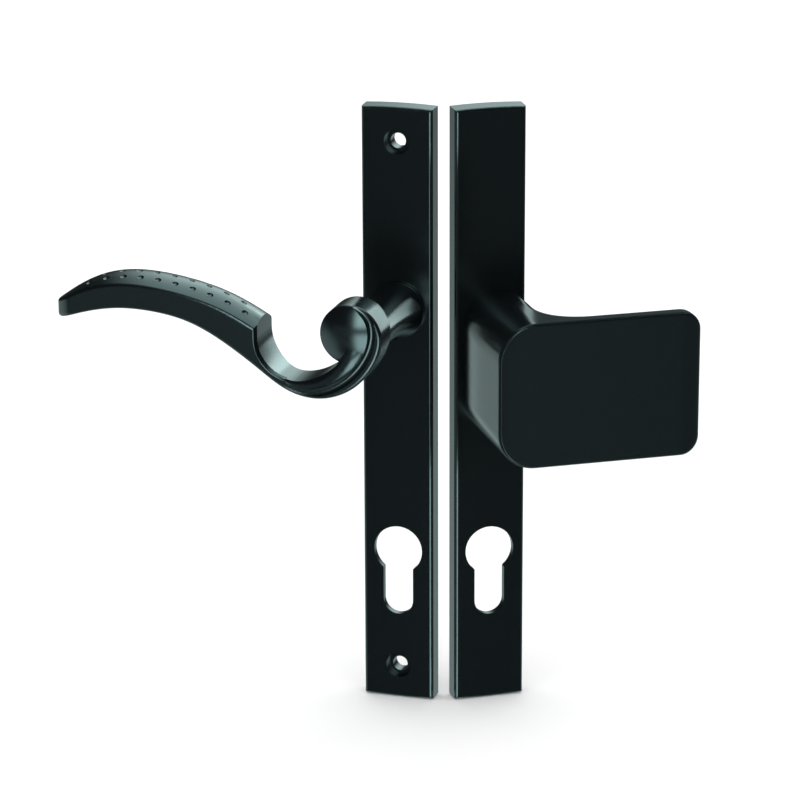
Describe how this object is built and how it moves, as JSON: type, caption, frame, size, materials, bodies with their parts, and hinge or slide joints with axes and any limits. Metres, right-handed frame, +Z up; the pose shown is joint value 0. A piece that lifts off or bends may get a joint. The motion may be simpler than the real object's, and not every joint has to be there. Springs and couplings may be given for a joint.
{
  "type": "gate handle",
  "caption": "Gate handle set on narrow plates: a scroll lever with a dimpled grip for one side and a fixed offset knob for the other.",
  "frame": {"origin": "spindle axis of the lever, in the plane where the lever plate meets the gate", "axes": "+X right along the lever plate's width, +Y into the gate, +Z up along the plates"},
  "size_m": [0.2178, 0.0744, 0.22],
  "materials": {
    "black_coating": "satin powder coat",
    "black_nylon": "matt",
    "plain_steel": "zinc plated"
  },
  "bodies": {
    "plates": {"lever_plate": "black_coating", "neck_bush": "black_nylon", "thrust_washer": "plain_steel", "return_spring": "plain_steel", "knob_plate": "black_coating", "knob": "black_coating", "knob_screw_upper": "plain_steel", "knob_screw_lower": "plain_steel"},
    "lever": {"lever_handle": "black_coating", "retaining_ring": "plain_steel", "grub_screw": "plain_steel"}
  },
  "joints": [
    {"name": "lever_turn", "type": "hinge", "parent": "plates", "child": "lever", "pos_m": [0, 0, 0], "axis": [0, -1, 0], "range_deg": [0, 45], "stiffness_Nm_per_rad": 0.6, "springref_deg": -40.11, "deforming": ["return_spring"]}
  ]
}
